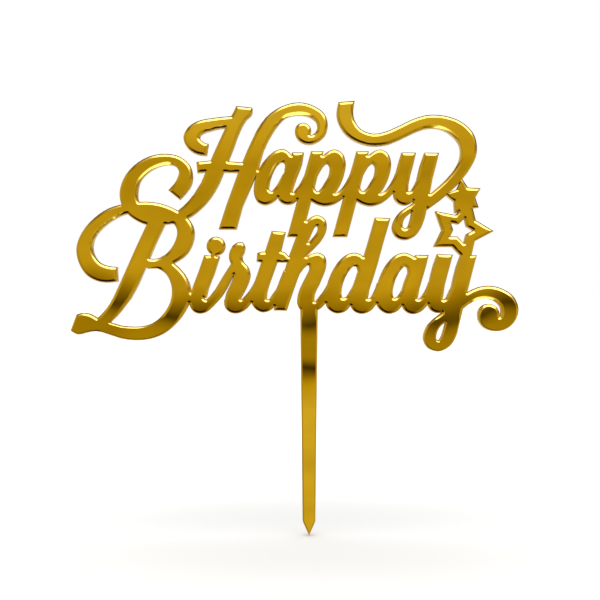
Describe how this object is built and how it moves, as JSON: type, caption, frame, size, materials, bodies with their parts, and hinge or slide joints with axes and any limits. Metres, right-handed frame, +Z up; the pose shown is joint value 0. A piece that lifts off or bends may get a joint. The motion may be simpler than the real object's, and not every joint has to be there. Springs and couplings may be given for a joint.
{
  "type": "cake topper",
  "caption": "Flat script greeting cake topper with swashes and stars, cut from gold mirror acrylic on a long tapered spike.",
  "frame": {"origin": "middle of the spike's shoulder, where the spike leaves the lettering and stands out of the cake, half way through the sheet", "axes": "+X to the reader's right, +Z up along the spike, +Y away from the reader, so the mirror side faces -Y"},
  "size_m": [0.1565, 0.003, 0.1518],
  "materials": {
    "tinted_acrylic": "gold tinted clear acrylic, polished",
    "mirror_metal": "mirror, seen through the tinted acrylic",
    "back_coat": "satin protective coat"
  },
  "bodies": {
    "root": {"capital_H": "tinted_acrylic", "tail_H": "tinted_acrylic", "letter_a_1": "tinted_acrylic", "letter_p_1": "tinted_acrylic", "letter_p_2": "tinted_acrylic", "letter_y_1": "tinted_acrylic", "swash_y_1": "tinted_acrylic", "capital_B": "tinted_acrylic", "swash_B": "tinted_acrylic", "letter_i": "tinted_acrylic", "letter_r": "tinted_acrylic", "letter_t": "tinted_acrylic", "letter_h": "tinted_acrylic", "letter_d": "tinted_acrylic", "letter_a_2": "tinted_acrylic", "letter_y_2": "tinted_acrylic", "swash_y_2": "tinted_acrylic", "star_small": "tinted_acrylic", "star_large": "tinted_acrylic", "spike": "tinted_acrylic", "mirror_layer": "mirror_metal", "back_coat": "back_coat"}
  },
  "joints": []
}
